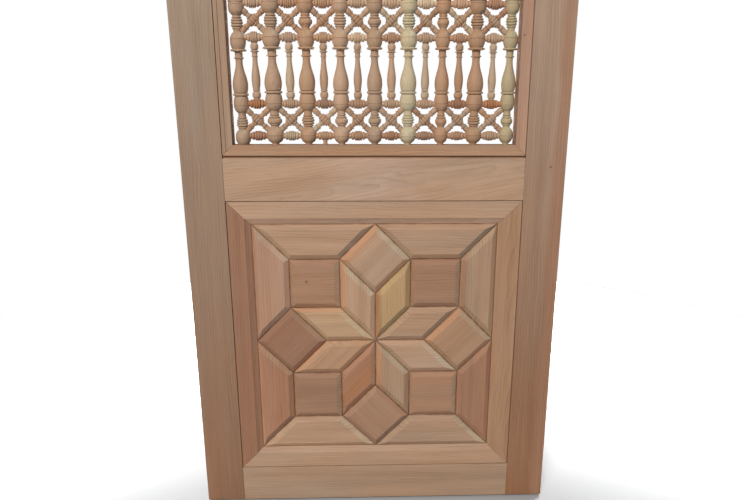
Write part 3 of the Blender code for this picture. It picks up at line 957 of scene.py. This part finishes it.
# Stage, light and camera: a soft key from the left and above, in a dim room with a white backdrop.
# Places and sizes are in metres, powers in watts and the spread in degrees.
LEAF_MIDDLE = 0.5
KEY_TARGET = (LEAF_MIDDLE, 0, -0.3)
KEY_DIRECTION = (-0.35, -1, 0.70)
KEY_DISTANCE = 8.0
KEY_SIZE = 1.5
KEY_POWER = 478
ROOM_LIGHT = 0.198
ROOM_TONE = (0.94, 1.00, 1.09)
FLOOR_TONE = 0.5
FLOOR_ROUGHNESS = 0.9
FLOOR_RADIUS = 2.4
FLOOR_SIDES = 96
FLOOR_BEHIND = 0.4
FLOOR_DROP = 0.006

# Two lamps over the floor behind the leaf keep it bright without touching the leaf's front
FLOOR_LIGHT_POWER = 150
FLOOR_LIGHT_SPREAD = 70
FLOOR_LIGHT_SIZE = 1.6
FLOOR_LIGHT_APART = 1.7
FLOOR_LIGHT_BEHIND = 1.5
FLOOR_LIGHT_HEIGHT = 1.8


def stage():
    """A plain pale floor that the leaf hangs just above."""
    bm = bmesh.new()
    bmesh.ops.create_circle(bm, cap_ends=True, segments=FLOOR_SIDES, radius=FLOOR_RADIUS)
    mesh = bpy.data.meshes.new("floor")
    bm.to_mesh(mesh)
    bm.free()
    material = bpy.data.materials.new("pale_floor")
    material.use_nodes = True
    shader = material.node_tree.nodes["Principled BSDF"]
    shader.inputs["Base Color"].default_value = (FLOOR_TONE, FLOOR_TONE, FLOOR_TONE, 1)
    shader.inputs["Roughness"].default_value = FLOOR_ROUGHNESS
    mesh.materials.append(material)
    floor = bpy.data.objects.new("floor", mesh)
    floor.location = (LEAF_MIDDLE, FLOOR_BEHIND, cad_box[0][2] - FLOOR_DROP)
    bpy.context.scene.collection.objects.link(floor)


def area_light(name, place, target, size, power, spread=180):
    """A round lamp that shines from a place towards a target."""
    lamp = bpy.data.lights.new(name, "AREA")
    lamp.shape = "DISK"
    lamp.size = size
    lamp.energy = power
    lamp.spread = math.radians(spread)
    light = bpy.data.objects.new(name, lamp)
    light.location = place
    light.rotation_euler = (Vector(target) - Vector(place)).to_track_quat("-Z", "Y").to_euler()
    bpy.context.scene.collection.objects.link(light)


def lights():
    """Seen from the camera, the room is white; it lights the leaf dimly from all round."""
    world = bpy.data.worlds.new("studio")
    world.use_nodes = True
    nodes = Nodes(world)
    seen = nodes.add("ShaderNodeLightPath").outputs["Is Camera Ray"]
    background = world.node_tree.nodes["Background"]
    nodes.feed(background.inputs["Strength"], nodes.remap(seen, 0.0, 1.0, ROOM_LIGHT, 1.0))
    nodes.feed(background.inputs["Color"], nodes.blend("MIX", seen, (*ROOM_TONE, 1), (1, 1, 1, 1)))
    bpy.context.scene.world = world
    key_place = Vector(KEY_TARGET) + Vector(KEY_DIRECTION).normalized() * KEY_DISTANCE
    area_light("key", key_place, KEY_TARGET, KEY_SIZE, KEY_POWER)
    for name, side in (("floor_light_left", -1), ("floor_light_right", 1)):
        place = Vector((LEAF_MIDDLE + side * FLOOR_LIGHT_APART, FLOOR_LIGHT_BEHIND, FLOOR_LIGHT_HEIGHT))
        area_light(name, place, place - UP, FLOOR_LIGHT_SIZE, FLOOR_LIGHT_POWER, FLOOR_LIGHT_SPREAD)
    bpy.context.scene.view_settings.view_transform = "Standard"


def camera():
    """The photograph's own camera."""
    lens = bpy.data.cameras.new("camera")
    lens.sensor_width = SENSOR_WIDTH_MM
    lens.lens = FOCAL_PX / FRAME_WIDTH_PX * SENSOR_WIDTH_MM
    lens.clip_start = 0.01
    lens.shift_x = -AXIS_RIGHT_PX / FRAME_WIDTH_PX
    lens.shift_y = AXIS_BELOW_PX / FRAME_WIDTH_PX
    seen = bpy.data.objects.new("camera", lens)
    turn = Matrix.Rotation(math.radians(CAMERA_YAW), 4, "Z")
    tip = Matrix.Rotation(math.radians(90 - CAMERA_PITCH), 4, "X")
    lean = Matrix.Rotation(math.radians(CAMERA_ROLL), 4, "Z")
    seen.matrix_world = Matrix.Translation(CAMERA_PLACE) @ turn @ tip @ lean
    bpy.context.scene.collection.objects.link(seen)
    bpy.context.scene.camera = seen


board_wood = wood(
    "board_wood",
    ring_spacing=0.0075,
    ring_depth=0.30,
    streak_depth=0.30,
    fibre_depth=0.17,
    fleck_depth=0.12,
)
turned_wood = wood(
    "turned_wood",
    ring_spacing=0.0036,
    ring_depth=0.26,
    streak_depth=0.16,
    fibre_depth=0.14,
    fleck_depth=0.08,
)
boards(board_wood)
star_panel(board_wood)
lattice(turned_wood)
stage()
lights()
camera()
